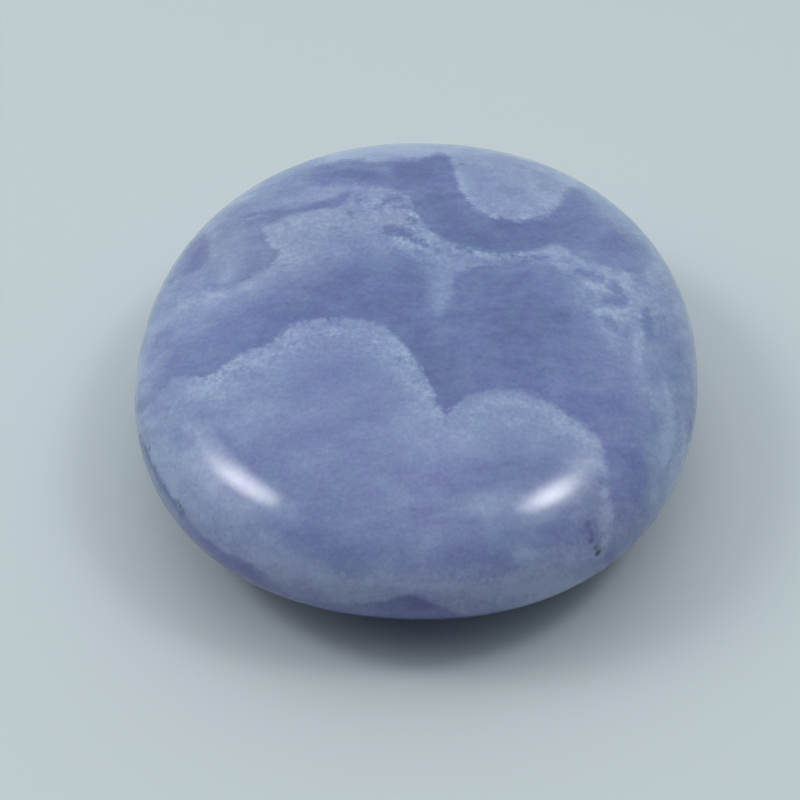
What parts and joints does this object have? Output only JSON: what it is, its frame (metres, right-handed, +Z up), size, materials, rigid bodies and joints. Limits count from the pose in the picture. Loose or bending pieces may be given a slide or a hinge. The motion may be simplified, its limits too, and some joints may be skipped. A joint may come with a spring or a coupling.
{
  "type": "blue chalcedony palm stone",
  "caption": "Polished oval palm stone of banded blue chalcedony, domed on top with rounded sides and a small flat to rest on.",
  "frame": {"origin": "under the middle of the stone, on the surface it rests on", "axes": "+Z up through the thickness, +Y along the long axis of the oval towards its blunter end, +X across it"},
  "size_m": [0.0352, 0.0398, 0.013],
  "materials": {
    "chalcedony": "high polish, slightly translucent"
  },
  "bodies": {
    "root": {"chalcedony_stone": "chalcedony"}
  },
  "joints": []
}
